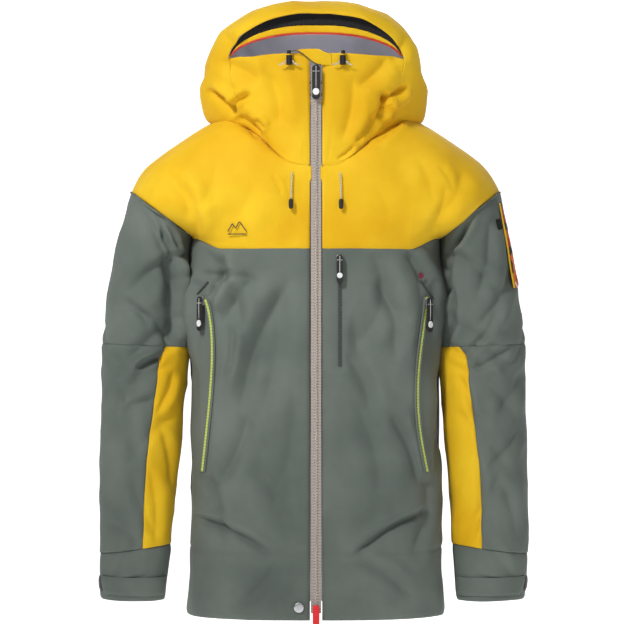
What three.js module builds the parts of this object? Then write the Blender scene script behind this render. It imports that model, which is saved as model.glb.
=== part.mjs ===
// Hooded ski shell, zipped up, hanging as if worn. Millimetres, +Z up, the front faces -Y.
// Heights are written from the hem; the whole model is then moved so that the hanger loop is the origin.
// "left" and "right" are the viewer's, looking at the front.
import * as THREE from 'three';

// Driving dimensions
const bodyColumns = 10; // facets from the centre front to the side seam
const wall = 2.4; // fabric shell with its tapes and linings
const seamGap = 0.7; // between neighbouring panels
const yokeHeight = 597; // lower edge of the yoke over the chest
const armpitHeight = 616;
const frontDepth = 140; // centre front at the hem, in front of the side seams
const frontLean = 0.0417; // how far the centre front leans back per millimetre of height
const squareness = 0.72; // 1 gives elliptical sections, less gives fuller corners
const necklineFront = 730;
const hoodTop = 996;
const zipTapeWidth = 16.6; // both tapes of the main zip together
const zipTop = 893;
const zipBottom = 12;
const neckGap = 3.5; // between the yoke's top edge and the collar
const seatGap = 0.4; // between a trim and the fabric that it lies on
const facetGap = 1.2; // the same where the fabric is curved both ways

// height, half width and back depth of the body
const bodyKnots = [[0, 214, 132], [70, 209, 127], [150, 206, 122], [300, 206, 112], [450, 206, 122],
  [530, 206, 130], [armpitHeight, 204, 132]];
// station, inner x, inner z, outer x, outer z, half depth and y of the middle of a sleeve
const sleeveKnots = [[0, 240, 21, 346, 24, 50, -22], [1, 232, 70, 350, 72, 54, -20],
  [2, 223, 200, 352, 205, 62, -14], [3, 214, 345, 350, 350, 70, -8], [4, 219, 436, 351, 442, 72, -4],
  [5, 224, 530, 342, 535, 80, 0], [6, 219, 585, 331, 600, 84, 0], [7, 204, armpitHeight, 306, 692, 85, 0]];
const sleeveSwing = { left: 9, right: -9 }; // how far each cuff hangs outwards of its place
// neckline and shoulder line from the centre front to the shoulder point, by share of the armhole angle
const shoulderLine = [[0.42, 138, 2, 826], [0.6, 195, 2, 795], [0.8, 251, 0, 757], [0.9, 283, 0, 731],
  [1, 306, 0, 692]];
const frontNeckline = [[0, 0, -109.5, necklineFront], [0.1, 36, -107, 732], [0.2, 62, -100, 747],
  [0.3, 92, -74, 779], ...shoulderLine];
const backNeckline = [[0, 0, 78, 850], [0.1, 40, 75, 848], [0.2, 76, 66, 843], [0.3, 108, 44, 835],
  ...shoulderLine];

const lerp = THREE.MathUtils.lerp;
const rad = THREE.MathUtils.degToRad;
const clamp01 = (t) => Math.min(1, Math.max(0, t));
const smooth = (t) => { const c = clamp01(t); return c * c * (3 - 2 * c); };
const full = (c) => Math.sign(c) * Math.abs(c) ** squareness;

// smooth interpolation in a table whose first column rises
function knot(table, at) {
  let i = 0;
  while (i < table.length - 2 && at > table[i + 1][0]) i++;
  const [a, b] = [table[i], table[i + 1]];
  const share = smooth((at - a[0]) / (b[0] - a[0]));
  return a.map((value, column) => lerp(value, b[column], share));
}

// the same, but a straight line between the rows
function straightKnot(table, at) {
  let i = 0;
  while (i < table.length - 2 && at > table[i + 1][0]) i++;
  const [a, b] = [table[i], table[i + 1]];
  const share = clamp01((at - a[0]) / (b[0] - a[0]));
  return a.map((value, column) => lerp(value, b[column], share));
}

const centreFront = (z) => -(frontDepth - frontLean * z);

// body surface: angle 0 is the centre front, 90 the right side, 180 the centre back
function bodyPoint(degrees, z) {
  const [, halfWidth, backDepth] = knot(bodyKnots, z);
  const c = Math.cos(rad(degrees));
  const depth = c > 0 ? -centreFront(z) : backDepth;
  return new THREE.Vector3(halfWidth * full(Math.sin(rad(degrees))), -depth * full(c), z);
}

// the angle at which the body surface is x away from its centre line
function bodyAngle(x, z) {
  const share = (x / knot(bodyKnots, z)[1]) ** (1 / squareness);
  return THREE.MathUtils.radToDeg(Math.asin(clamp01(share)));
}

const yokeEdge = (degrees) => {
  const x = Math.abs(full(Math.sin(rad(degrees))));
  return lerp(yokeHeight, armpitHeight, smooth((x - 0.74) / 0.26));
};

// yoke surface: share 0 is the centre line and 1 the armhole, up 0 the lower edge and 1 the shoulder line
function yokePoint(share, up, isFront) {
  const degrees = isFront ? 90 * share : 180 - 90 * share;
  const low = bodyPoint(degrees, yokeEdge(degrees));
  const [, topX, topY, topZ] = straightKnot(isFront ? frontNeckline : backNeckline, share);
  const round = smooth(share);
  const half = (1 - Math.cos(Math.PI * up)) / 2;
  const bulge = (isFront ? -1 : 1) * sleeveKnots.at(-1)[5] * round * Math.sin(Math.PI * up);
  return new THREE.Vector3(lerp(low.x, topX, lerp(up, half, round)),
    topY + (low.y - topY) * Math.cos(Math.PI * up / 2) + bulge,
    lerp(low.z, topZ, lerp(Math.sin(Math.PI * up / 2), half, round)));
}

// sleeve surface: angle 0 is the front, 90 the outer side; station 0 is the cuff and 7 the armhole
function sleevePoint(degrees, station, swing) {
  const [, innerX, innerZ, outerX, outerZ, halfDepth, middleY] = straightKnot(sleeveKnots, station);
  const across = (1 + Math.sin(rad(degrees))) / 2;
  const hang = swing * (1 - station / 7);
  return new THREE.Vector3(lerp(innerX, outerX, across) + hang, middleY - halfDepth * Math.cos(rad(degrees)),
    lerp(innerZ, outerZ, across));
}

// hood and collar: rise 0 is the neckline, 1 the level of the collar's top edge, 2 the crown
const hoodLevel = [[0, 912], [35, 908], [60, 900], [90, 880], [180, 880]]; // angle, height of the widest line
const hoodWidth = 180;
const hoodFront = 102; // on the line of the centre front
const hoodBack = 128;
const backTurn = 150; // where the hood's sides meet its back panel, in degrees from the centre front
const brimReach = 34; // how far the brim stands in front of the hood
const lobeLift = 14; // keeps the hood's sides clear of the shoulders
function hoodPoint(degrees, rise) {
  const turn = Math.abs(degrees);
  const share = turn <= 90 ? turn / 90 : (180 - turn) / 90;
  const [, neckX, neckY, neckZ] = straightKnot(turn <= 90 ? frontNeckline : backNeckline, 0.42 * share);
  const c = Math.cos(rad(turn));
  const wideX = hoodWidth * full(Math.sin(rad(turn)));
  const wideY = -(c > 0 ? hoodFront : hoodBack) * full(c);
  const wideZ = knot(hoodLevel, turn)[1];
  const side = smooth(Math.sin(rad(turn)));
  const sign = Math.sign(degrees) || 1;
  if (rise <= 1) {
    const out = Math.sin(Math.PI * rise / 2);
    const lift = lobeLift * side * Math.sin(Math.PI * Math.min(1, rise * 1.6));
    return new THREE.Vector3(sign * lerp(neckX, wideX, out), lerp(neckY, wideY, out),
      lerp(neckZ + neckGap, wideZ, rise) + lift);
  }
  const over = Math.PI / 2 * (rise - 1);
  const shrink = Math.cos(over) ** 0.85;
  const brimPush = brimReach * smooth(c) * Math.sin(2 * over);
  return new THREE.Vector3(sign * wideX * shrink, wideY * shrink - brimPush,
    lerp(wideZ, hoodTop, Math.sin(over)));
}

const model = new THREE.Group();

function finish(color, roughness, metalness = 0) {
  return new THREE.MeshStandardMaterial({ color, roughness, metalness });
}
const grey = () => finish(0x6d766f, 0.85);
const yellow = () => finish(0xf2cf38, 0.85);
const black = () => finish(0x151316, 0.6);
const rubber = () => finish(0x1d1b1e, 0.55);
const tapeCloth = () => finish(0xa89c96, 0.8);
const lime = () => finish(0xb8c46a, 0.75);
const metal = () => finish(0xc9cccd, 0.3, 0.9);

// outward normal of a surface; a closed top, where u has no length, points up
function normalAt(surface, u, v, ring = false) {
  const step = 0.004;
  const [u0, u1] = ring ? [u - step, u + step] : [Math.max(0, u - step), Math.min(1, u + step)];
  const alongU = surface(u1, v).sub(surface(u0, v));
  const alongV = surface(u, Math.min(1, v + step)).sub(surface(u, Math.max(0, v - step)));
  if (alongU.length() < 1e-6) return new THREE.Vector3(0, 0, 1);
  return alongU.cross(alongV).normalize();
}

// closed thin shell over a grid of surface points; the wall goes inwards of the surface
function shellGeometry(surface, columns, rows, thickness, ring = false, closedTop = false) {
  const spanU = surface(0, 0.5).distanceTo(surface(0.5, 0.5)) + surface(0.5, 0.5).distanceTo(surface(1, 0.5));
  const spanV = surface(0.5, 0).distanceTo(surface(0.5, 0.5)) + surface(0.5, 0.5).distanceTo(surface(0.5, 1));
  const edgeU = ring ? 0 : seamGap / 2 / spanU;
  const edgeV = seamGap / 2 / spanV;
  const topV = closedTop ? 1 : 1 - edgeV;
  const countU = ring ? columns : columns + 1;
  const outer = [];
  const inner = [];
  for (let j = 0; j <= rows; j++) {
    for (let i = 0; i < countU; i++) {
      const u = lerp(edgeU, 1 - edgeU, i / columns);
      const v = lerp(edgeV, topV, j / rows);
      outer.push(surface(u, v));
      inner.push(surface(u, v).addScaledVector(normalAt(surface, u, v, ring), -thickness));
    }
  }
  const points = [...outer, ...inner];
  const shift = outer.length;
  const index = [];
  const apart = (a, b) => points[a].distanceTo(points[b]) > 1e-6;
  const triangle = (a, b, c) => { if (apart(a, b) && apart(b, c) && apart(c, a)) index.push(a, b, c); };
  const quad = (a, b, c, d) => { triangle(a, b, c); triangle(a, c, d); };
  const id = (i, j) => j * countU + (ring ? i % columns : i);
  for (let j = 0; j < rows; j++) {
    for (let i = 0; i < columns; i++) {
      quad(id(i, j), id(i + 1, j), id(i + 1, j + 1), id(i, j + 1));
      quad(shift + id(i, j), shift + id(i, j + 1), shift + id(i + 1, j + 1), shift + id(i + 1, j));
    }
  }
  for (let i = 0; i < columns; i++) {
    quad(id(i, 0), shift + id(i, 0), shift + id(i + 1, 0), id(i + 1, 0));
    quad(id(i, rows), id(i + 1, rows), shift + id(i + 1, rows), shift + id(i, rows));
  }
  if (!ring) {
    for (let j = 0; j < rows; j++) {
      quad(id(0, j), id(0, j + 1), shift + id(0, j + 1), shift + id(0, j));
      quad(id(columns, j), shift + id(columns, j), shift + id(columns, j + 1), id(columns, j + 1));
    }
  }
  const geometry = new THREE.BufferGeometry();
  geometry.setAttribute('position', new THREE.Float32BufferAttribute(points.flatMap((p) => p.toArray()), 3));
  geometry.setIndex(index);
  geometry.computeVertexNormals();
  return geometry;
}

function add(name, geometry, material, parent = model) {
  const mesh = new THREE.Mesh(geometry, material);
  mesh.name = name;
  parent.add(mesh);
  return mesh;
}

// a panel whose surface runs left to right in u and bottom to top in v, seen from outside
function panel(name, surface, columns, rows, material, thickness = wall) {
  return add(name, shellGeometry(surface, columns, rows, thickness), material);
}

const sides = [['left', -1], ['right', 1]];
// mirrors a right-hand surface to the given side and keeps its faces outwards
const onSide = (sign, surface) => (u, v) => {
  const p = surface(sign > 0 ? u : 1 - u, v);
  p.x *= sign;
  return p;
};

function addBody() {
  const halfTape = zipTapeWidth / 2 + seamGap;
  for (const [side, sign] of sides) {
    panel(`front_${side}`, onSide(sign, (u, v) => {
      const z = v * yokeEdge(lerp(bodyAngle(halfTape, 300), 90, u));
      return bodyPoint(lerp(bodyAngle(halfTape, z), 90, u), z);
    }), bodyColumns, 8, grey());
    panel(`yoke_front_${side}`, onSide(sign, (u, v) => {
      const start = bodyAngle(halfTape, yokeHeight) / 90;
      const p = yokePoint(lerp(start, 1, u), v, true);
      p.x = Math.max(p.x, halfTape);
      return p;
    }), bodyColumns, 9, yellow());
  }
  panel('back', (u, v) => bodyPoint(lerp(90, 270, u), v * yokeEdge(lerp(90, 270, u))),
    2 * bodyColumns, 9, grey());
  for (const [side, sign] of sides) {
    panel(`yoke_back_${side}`, onSide(-sign, (u, v) => {
      const p = yokePoint(u, v, false);
      p.x *= -1;
      return p;
    }), bodyColumns, 9, yellow());
  }
}

function addSleeves() {
  for (const [side, sign] of sides) {
    const swing = sleeveSwing[side];
    const surface = (from, to, low, high) => onSide(sign, (u, v) =>
      sleevePoint(lerp(from, to, u), lerp(low, high, v), swing));
    const tube = (name, low, high, rows) => add(`${name}_${side}`,
      shellGeometry(surface(0, 360, low, high), 18, rows, wall, true), grey());
    tube('sleeve_upper', 4, 7, 6);
    panel(`sleeve_lower_${side}`, surface(-17, 197, 1.2, 4), 11, 8, grey());
    panel(`sleeve_underarm_${side}`, surface(-163, -17, 1.2, 4), 8, 8, yellow());
    tube('cuff', 0, 1.2, 2);
  }
}

function addHood() {
  const halfTape = zipTapeWidth / 2 + seamGap;
  for (const [side, sign] of sides) {
    panel(`collar_${side}`, onSide(sign, (u, v) => {
      const p = hoodPoint(lerp(0, collarTurn, u), v);
      p.x += halfTape * (1 - u) ** 2;
      return p;
    }), 6, 6, yellow());
    panel(`hood_side_${side}`, onSide(sign, (u, v) => hoodPoint(lerp(collarTurn, backTurn, u), v * brimRise)),
      10, 9, yellow());
  }
  panel('hood_back', (u, v) => {
    const turn = lerp(backTurn, 360 - backTurn, u);
    const p = hoodPoint(turn > 180 ? turn - 360 : turn, v * brimRise);
    return p;
  }, 5, 9, yellow());
}

const brimRise = 1.5; // where the crown starts
const collarTurn = 46; // angle at which the collar meets the hood's side
const windowRise = (degrees) => 1.02 + 0.23 * (1 - (degrees / collarTurn) ** 2); // top of the face opening

// a surface moved outwards by the given distance
const lifted = (surface, distance) => (u, v) =>
  surface(u, v).addScaledVector(normalAt(surface, u, v), distance);

function addCrown() {
  add('hood_crown', shellGeometry((u, v) => hoodPoint(((u * 360 + 180) % 360) - 180, lerp(brimRise, 2, v)),
    28, 5, wall, true, true), yellow());
  const brimTurn = collarTurn - 0.5;
  const across = (u) => lerp(-brimTurn, brimTurn, u);
  panel('hood_brim', (u, v) => hoodPoint(across(u), lerp(windowRise(across(u)), brimRise, v)),
    12, 5, yellow());
  const band = (u, v) => {
    const turn = across(lerp(0.04, 0.96, u));
    const low = windowRise(turn) + 0.1;
    const rounding = Math.sin(Math.PI * lerp(0.08, 0.92, u)) ** 0.5;
    return hoodPoint(turn, lerp(low, lerp(low + 0.02, 1.46, rounding), v));
  };
  panel('brim_mesh_band', lifted(band, facetGap + bandThickness), 14, 3, black(), bandThickness);
  const piping = (u, v) => hoodPoint(across(lerp(0.03, 0.97, u)),
    windowRise(across(lerp(0.03, 0.97, u))) - pipingShare * (1.15 - v));
  panel('hood_piping', piping, 14, 1, finish(0xc23a1c, 0.6));
}
const bandThickness = 0.8;
const pipingShare = 0.045; // height of the piping, as a share of the hood's rise

// nearest spot of a surface in the front view, by a search that narrows
function spotOn(surface, x, z) {
  let [u, v, reach] = [0.5, 0.5, 0.5];
  for (let round = 0; round < 9; round++) {
    let best = Infinity;
    const [middleU, middleV] = [u, v];
    for (let i = -4; i <= 4; i++) {
      for (let j = -4; j <= 4; j++) {
        const [tryU, tryV] = [clamp01(middleU + reach * i / 4), clamp01(middleV + reach * j / 4)];
        const p = surface(tryU, tryV);
        const miss = Math.hypot(p.x - x, p.z - z);
        if (miss < best) [best, u, v] = [miss, tryU, tryV];
      }
    }
    reach *= 0.45;
  }
  return [u, v];
}

// group whose X is to the right, Y into the fabric and Z up along it, at a spot of a surface
function seat(surface, u, v, up = new THREE.Vector3(0, 0, 1)) {
  const inward = normalAt(surface, u, v).negate();
  const along = up.clone().addScaledVector(inward, -up.dot(inward)).normalize();
  const group = new THREE.Group();
  const right = inward.clone().cross(along);
  group.matrix.makeBasis(right, inward, along).setPosition(surface(u, v));
  group.matrix.decompose(group.position, group.quaternion, group.scale);
  model.add(group);
  return group;
}

// flat plate with round corners: width in X, height in Z, its back at y = back and its front towards -Y
function plate(width, height, depth, corner) {
  const shape = new THREE.Shape();
  const [w, h] = [width / 2, height / 2];
  const r = Math.min(corner, w - 0.01, h - 0.01);
  shape.moveTo(-w + r, -h);
  shape.lineTo(w - r, -h).absarc(w - r, -h + r, r, -Math.PI / 2, 0);
  shape.lineTo(w, h - r).absarc(w - r, h - r, r, 0, Math.PI / 2);
  shape.lineTo(-w + r, h).absarc(-w + r, h - r, r, Math.PI / 2, Math.PI);
  shape.lineTo(-w, -h + r).absarc(-w + r, -h + r, r, Math.PI, 1.5 * Math.PI);
  const geometry = new THREE.ExtrudeGeometry(shape, { depth, bevelEnabled: false, curveSegments: 4 });
  return geometry.rotateX(Math.PI / 2);
}

function addPlate(parent, name, material, { width, height, depth, corner = 1, x = 0, back = 0, middle = 0 }) {
  const mesh = add(name, plate(width, height, depth, corner), material, parent);
  mesh.position.set(x, back, middle);
  return mesh;
}

const sliderSize = { width: 10, height: 15, depth: 4, corner: 3 };
const pullSize = { width: 13, height: 56, depth: 3, corner: 6 };
const toothDepth = 2.2;
const tapeThickness = 1.4;

// slider and pull of a zip; back is the plane on which the slider runs
function addSlider(parent, name, back, top, pull = pullSize, pullMaterial = rubber(), material = metal()) {
  addPlate(parent, `${name}_slider`, material, { ...sliderSize, back, middle: top - sliderSize.height / 2 });
  addPlate(parent, `${name}_pull`, pullMaterial, { ...pull, back: back - sliderSize.depth - 2 * seatGap,
    middle: top - pull.height / 2 });
}

function addMainZip() {
  const group = new THREE.Group();
  group.position.set(0, centreFront(0), 0);
  group.rotation.x = -Math.atan(frontLean);
  model.add(group);
  const length = zipTop - zipBottom;
  const half = zipTapeWidth / 2;
  for (const [side, sign] of sides) {
    addPlate(group, `zip_tape_${side}`, tapeCloth(), { width: half - seatGap, height: length,
      depth: tapeThickness, corner: 0.5, x: sign * (half + seatGap) / 2, back: seatGap + tapeThickness,
      middle: zipBottom + length / 2 });
  }
  addPlate(group, 'zip_chain', tapeCloth(), { width: 5.6, height: length - 6, depth: toothDepth, corner: 0.5,
    back: 0, middle: zipBottom + length / 2 });
  const run = -toothDepth - seatGap;
  addSlider(group, 'zip_top', run, zipTop);
  addSlider(group, 'zip_bottom', run, zipBottom + 14, { width: 11, height: 34, depth: 3, corner: 5 },
    finish(0xe0262e, 0.5));
}

// straight zip on a flat spot of a surface, between two heights
function addPocketZip(name, surface, x, low, high, tape, material, pull) {
  const group = seat(surface, ...spotOn(surface, x, (low + high) / 2));
  const half = (high - low) / 2;
  addPlate(group, `${name}_tape`, material, { width: tape, height: 2 * half, depth: tapeThickness, corner: 1,
    back: -seatGap });
  addSlider(group, name, -2 * seatGap - tapeThickness, half, pull);
}

const frontSurface = (sign) => onSide(sign, (u, v) => bodyPoint(lerp(2, 90, u), v * yokeHeight));
const yokeSurface = (sign) => onSide(sign, (u, v) => yokePoint(u, v, true));
const collarSurface = (sign) => onSide(sign, (u, v) => hoodPoint(lerp(0.5, collarTurn, u), v));

function addPocketZips() {
  addPocketZip('side_zip_left', frontSurface(-1), -184, 235, 519, 7, lime(), pullSize);
  addPocketZip('side_zip_right', frontSurface(1), 180, 235, 517, 7, lime(), pullSize);
  addPocketZip('chest_zip', frontSurface(1), 38, 407, 586, 5, finish(0x4a504b, 0.8),
    { width: 10, height: 46, depth: 3, corner: 5 });
}

function addSleevePocket() {
  const swing = sleeveSwing.right;
  const surface = (from, to, low, high) => (u, v) =>
    sleevePoint(lerp(from, to, u), lerp(low, high, v), swing);
  panel('sleeve_pocket_print', lifted(surface(38, 72, 5.1, 6.75), facetGap + bandThickness), 4, 7,
    finish(0xd8652a, 0.7), bandThickness);
  panel('sleeve_pocket_tape', lifted(surface(29, 36, 5.1, 6.75), facetGap + bandThickness), 2, 7,
    yellow(), bandThickness);
  const rail = surface(32, 34, 5, 7);
  const [low, high] = [rail(0.5, 0.15), rail(0.5, 0.85)];
  const group = seat(rail, 0.5, 0.7, high.sub(low).normalize());
  addPlate(group, 'sleeve_pocket_slider', rubber(),
    { width: 8, height: 18, depth: 4, corner: 3, back: -4, middle: 8 });
}

function addDisc(name, surface, x, z, diameter, thickness, material) {
  const group = seat(surface, ...spotOn(surface, x, z));
  const shape = new THREE.CylinderGeometry(diameter / 2, diameter / 2, thickness, 20);
  const mesh = add(name, shape, material, group);
  mesh.position.y = -seatGap - thickness / 2;
}

function addTrims() {
  addDisc('hem_snap', frontSurface(-1), -27.5, 21, 16.5, 2, metal());
  addDisc('side_zip_dot', frontSurface(1), 170, 553, 10, 1, finish(0x7a1f35, 0.7));
  const motif = seat(yokeSurface(-1), ...spotOn(yokeSurface(-1), -127, 630));
  addPlate(motif, 'chest_motif', finish(0x5d5535, 0.8),
    { width: 34, height: 24, depth: 0.6, corner: 3, back: -1.2 });
}

const tabStations = [0.22, 0.78];
function addCuffTabs() {
  for (const [side, sign] of sides) {
    const surface = (from, to, low, high) => onSide(sign, (u, v) =>
      sleevePoint(lerp(from, to, u), lerp(low, high, v), sleeveSwing[side]));
    panel(`cuff_tab_${side}`, lifted(surface(-70, 62, ...tabStations), 2 * seatGap + wall),
      9, 2, grey(), wall);
    panel(`cuff_patch_${side}`, lifted(surface(66, 112, 0.28, 0.72), seatGap + bandThickness), 5, 2, black(),
      bandThickness);
  }
}

const lockSize = { radius: 5, height: 15, buttonRadius: 3.6, button: 5, travel: 3 };
function addCordLocks() {
  const { radius, height, buttonRadius, button, travel } = lockSize;
  for (const [side, sign] of sides) {
    const group = seat(collarSurface(sign), ...spotOn(collarSurface(sign), sign * 43, 893));
    const barrel = new THREE.CylinderGeometry(radius, radius, height, 14);
    const body = add(`cord_lock_${side}`, barrel, black(), group);
    body.rotation.x = Math.PI / 2;
    body.position.set(0, -radius - 1, height / 2);
    const pin = new THREE.CylinderGeometry(buttonRadius, buttonRadius, button, 12);
    const plunger = add(`cord_lock_button_${side}`, pin, metal(), group);
    plunger.rotation.x = Math.PI / 2;
    plunger.position.set(0, -radius - 1, height + travel + button / 2);
  }
}

// the tails of the hood cord: points from the eyelet down, for the right side (mirrored for the left)
const cordDiameter = 2.2;
const tailEnd = { radius: 3.6, length: 17 };
const tailPoints = [[38.5, -115.5, 719], [38.8, -117.5, 716], [39.1, -118.4, 708], [39.6, -119.2, 696],
  [40, -120, 684], [40.3, -120.6, 677]];
function addTails() {
  for (const [side, sign] of sides) {
    const points = tailPoints.map(([x, y, z]) => new THREE.Vector3(sign * x, y, z));
    const route = new THREE.CatmullRomCurve3(points);
    const section = new THREE.Shape();
    section.absarc(0, 0, cordDiameter / 2, 0, 2 * Math.PI);
    add(`drawcord_tail_${side}`, new THREE.ExtrudeGeometry(section, { steps: 12, extrudePath: route,
      curveSegments: 4, bevelEnabled: false }), finish(0xb9b9b4, 0.8));
    const [x, y, z] = tailPoints.at(-1);
    const tip = new THREE.CapsuleGeometry(tailEnd.radius, tailEnd.length - 2 * tailEnd.radius, 4, 12);
    const end = add(`drawcord_end_${side}`, tip, rubber());
    end.rotation.x = Math.PI / 2;
    end.position.set(sign * x, y - 1.6, z - seatGap - tailEnd.length / 2);
  }
}

// the strap at the nape that the jacket hangs by
const loop = { width: 56, height: 24, strap: 4, thickness: 2, y: 66, bottom: 858 };
function addHangerLoop() {
  const { width, height, strap, thickness } = loop;
  const outline = new THREE.Shape();
  outline.moveTo(-width / 2, 0).lineTo(width / 2, 0).lineTo(width / 2, height).lineTo(-width / 2, height);
  const gap = new THREE.Path();
  gap.moveTo(-width / 2 + strap, strap).lineTo(-width / 2 + strap, height - strap);
  gap.lineTo(width / 2 - strap, height - strap).lineTo(width / 2 - strap, strap);
  outline.holes.push(gap);
  const strapShape = new THREE.ExtrudeGeometry(outline, { depth: thickness, bevelEnabled: false });
  const strapMesh = add('hanger_loop', strapShape.rotateX(Math.PI / 2), black());
  strapMesh.position.set(0, loop.y, loop.bottom);
}

addBody();
addSleeves();
addHood();
addCrown();
addMainZip();
addPocketZips();
addSleevePocket();
addTrims();
addCuffTabs();
addCordLocks();
addTails();
addHangerLoop();

// the jacket hangs by the top strap of its loop, which is the origin
const hangPoint = new THREE.Vector3(0, loop.y - loop.thickness / 2, loop.bottom + loop.height - loop.strap);
model.position.copy(hangPoint).negate();

export default model;
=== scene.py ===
import math
import bpy
import bmesh
import numpy as np
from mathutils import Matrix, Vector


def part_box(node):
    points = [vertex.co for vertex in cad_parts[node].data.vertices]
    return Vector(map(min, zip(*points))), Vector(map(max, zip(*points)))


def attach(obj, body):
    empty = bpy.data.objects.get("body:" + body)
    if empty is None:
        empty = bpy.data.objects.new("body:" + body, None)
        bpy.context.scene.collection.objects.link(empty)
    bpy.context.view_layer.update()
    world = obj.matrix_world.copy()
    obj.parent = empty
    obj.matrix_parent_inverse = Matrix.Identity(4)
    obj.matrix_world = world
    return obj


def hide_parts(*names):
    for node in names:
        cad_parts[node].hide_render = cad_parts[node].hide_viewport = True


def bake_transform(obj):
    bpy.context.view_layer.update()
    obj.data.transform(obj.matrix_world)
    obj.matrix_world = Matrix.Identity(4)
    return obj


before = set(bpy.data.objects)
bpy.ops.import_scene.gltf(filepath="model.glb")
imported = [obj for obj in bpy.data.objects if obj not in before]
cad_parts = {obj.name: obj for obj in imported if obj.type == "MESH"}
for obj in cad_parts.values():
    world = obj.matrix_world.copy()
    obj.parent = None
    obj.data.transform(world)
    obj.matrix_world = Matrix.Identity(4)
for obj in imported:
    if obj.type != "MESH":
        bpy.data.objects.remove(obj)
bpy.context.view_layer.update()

# The garment's own sizes, in millimetres from the hem; the front faces -Y, +Z is up.
jacket = dict(squareness=0.72, frontDepth=140, frontLean=0.0417, yokeHeight=597, armpit=616, hoodTop=1007,
              hoodWidth=180, hoodFront=102, hoodBack=128, brimReach=34, lobeLift=14, neckGap=-1.5,
              collarTurn=46, halfTape=9.0, hangPoint=(0, 65, 878), wall=2.0)
bodyTable = np.array([[0, 214, 132], [70, 209, 127], [150, 206, 122], [300, 206, 112], [450, 206, 122],
                      [530, 206, 130], [616, 204, 132]], float)
sleeveTable = np.array([[0, 240, 21, 346, 24, 50, -22], [1, 234, 70, 350, 72, 54, -20],
                        [2, 224, 200, 352, 205, 62, -14], [3, 212, 345, 350, 350, 70, -8],
                        [3.5, 207, 390, 351, 396, 71, -6], [4, 203, 436, 350, 442, 72, -4],
                        [5, 202, 530, 342, 535, 80, 0], [6, 202, 585, 331, 600, 84, 0],
                        [7, 203, 616, 306, 692, 85, 0]], float)
# the front seam between the grey sleeve and the yellow panel under the arm: its angle at each station
seamTable = np.array([[1.2, -16], [2.3, -14.5], [3.1, -21], [3.75, -23], [4, -32]], float)
sleeveSwing = {"left": 9, "right": -9}
shoulderRows = [[0.42, 138, 2, 826], [0.6, 195, 2, 795], [0.8, 251, 0, 757], [0.9, 283, 0, 731],
                [1, 306, 0, 692]]
frontNeck = np.array([[0, 0, -109.5, 730], [0.1, 36, -107, 732], [0.2, 62, -100, 747], [0.3, 92, -74, 779]]
                     + shoulderRows, float)
backNeck = np.array([[0, 0, 78, 850], [0.1, 40, 75, 848], [0.2, 76, 66, 843], [0.3, 108, 44, 835]]
                    + shoulderRows, float)
hoodLevel = np.array([[0, 912], [35, 908], [60, 900], [90, 880], [180, 880]], float)
sides = (("left", -1), ("right", 1))
milli = 0.001


def toFrame(points):
    # millimetres from the hem to metres in the frame
    return (np.asarray(points, float) - jacket["hangPoint"]) * milli


def setCamera(distance=4.0, height=494, across=-6.5, view=1011):
    # a long lens straight in front, framing a square of the given width at the middle of the front
    camera = bpy.data.objects.new("viewCamera", bpy.data.cameras.new("viewCamera"))
    bpy.context.collection.objects.link(camera)
    front = toFrame((across, -90, height))
    camera.location = (front[0], front[1] - distance, front[2])
    camera.rotation_euler = (math.pi / 2, 0, 0)
    camera.data.sensor_width = 36
    camera.data.lens = 36 * distance / (view * milli)
    camera.data.clip_end = 50
    bpy.context.scene.camera = camera


def smooth(t):
    c = np.clip(t, 0, 1)
    return c * c * (3 - 2 * c)


def full(c):
    return np.sign(c) * np.abs(c) ** jacket["squareness"]


def rows(table, at, eased=False):
    # the table's columns at the given values of its first one, straight or eased between the rows
    at = np.asarray(at, float)
    i = np.clip(np.searchsorted(table[:, 0], at, side="right") - 1, 0, len(table) - 2)
    share = np.clip((at - table[i, 0]) / (table[i + 1, 0] - table[i, 0]), 0, 1)
    share = smooth(share) if eased else share
    return [table[i, k] * (1 - share) + table[i + 1, k] * share for k in range(1, table.shape[1])]


def softRows(table, at):
    # the same table through a gentle spline: the mean of three nearby straight readings
    reach = 0.35 * np.min(np.diff(table[:, 0]))
    parts = [rows(table, np.asarray(at, float) + k * reach) for k in (-1, -0.5, 0, 0.5, 1)]
    edge = np.minimum(np.abs(at - table[0, 0]), np.abs(at - table[-1, 0])) / (2 * reach)
    blend = smooth(edge)
    return [sum(p[k] for p in parts) / 5 * blend + parts[2][k] * (1 - blend) for k in range(len(parts[0]))]


def mix(a, b, t):
    return a + (b - a) * t


def bodyPoint(degrees, z):
    # a superellipse round the body at each height; the centre front is a straight line
    halfWidth, backDepth = rows(bodyTable, z, eased=True)
    c = np.cos(np.radians(degrees))
    depth = np.where(c > 0, jacket["frontDepth"] - jacket["frontLean"] * z, backDepth)
    return np.stack([halfWidth * full(np.sin(np.radians(degrees))), -depth * full(c), z + 0 * degrees], -1)


def bodyAngle(x, z):
    share = x / rows(bodyTable, z, eased=True)[0]
    return np.degrees(np.arcsin(np.clip(share ** (1 / jacket["squareness"]), 0, 1)))


def yokeEdge(degrees):
    x = np.abs(full(np.sin(np.radians(degrees))))
    return mix(jacket["yokeHeight"], jacket["armpit"], smooth((x - 0.74) / 0.26))


def yokePoint(share, up, isFront):
    # arcs from the yoke's lower edge to the neckline and shoulder line, rounder towards the armhole
    degrees = 90 * share if isFront else 180 - 90 * share
    low = bodyPoint(degrees, yokeEdge(degrees))
    topX, topY, topZ = softRows(frontNeck if isFront else backNeck, share)
    roundness = smooth(share)
    half = (1 - np.cos(np.pi * up)) / 2
    bulge = (-1 if isFront else 1) * 85 * roundness * np.sin(np.pi * up)
    return np.stack([mix(low[..., 0], topX, mix(up, half, roundness)),
                     topY + (low[..., 1] - topY) * np.cos(np.pi * up / 2) + bulge,
                     mix(low[..., 2], topZ, mix(np.sin(np.pi * up / 2), half, roundness))], -1)


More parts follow.
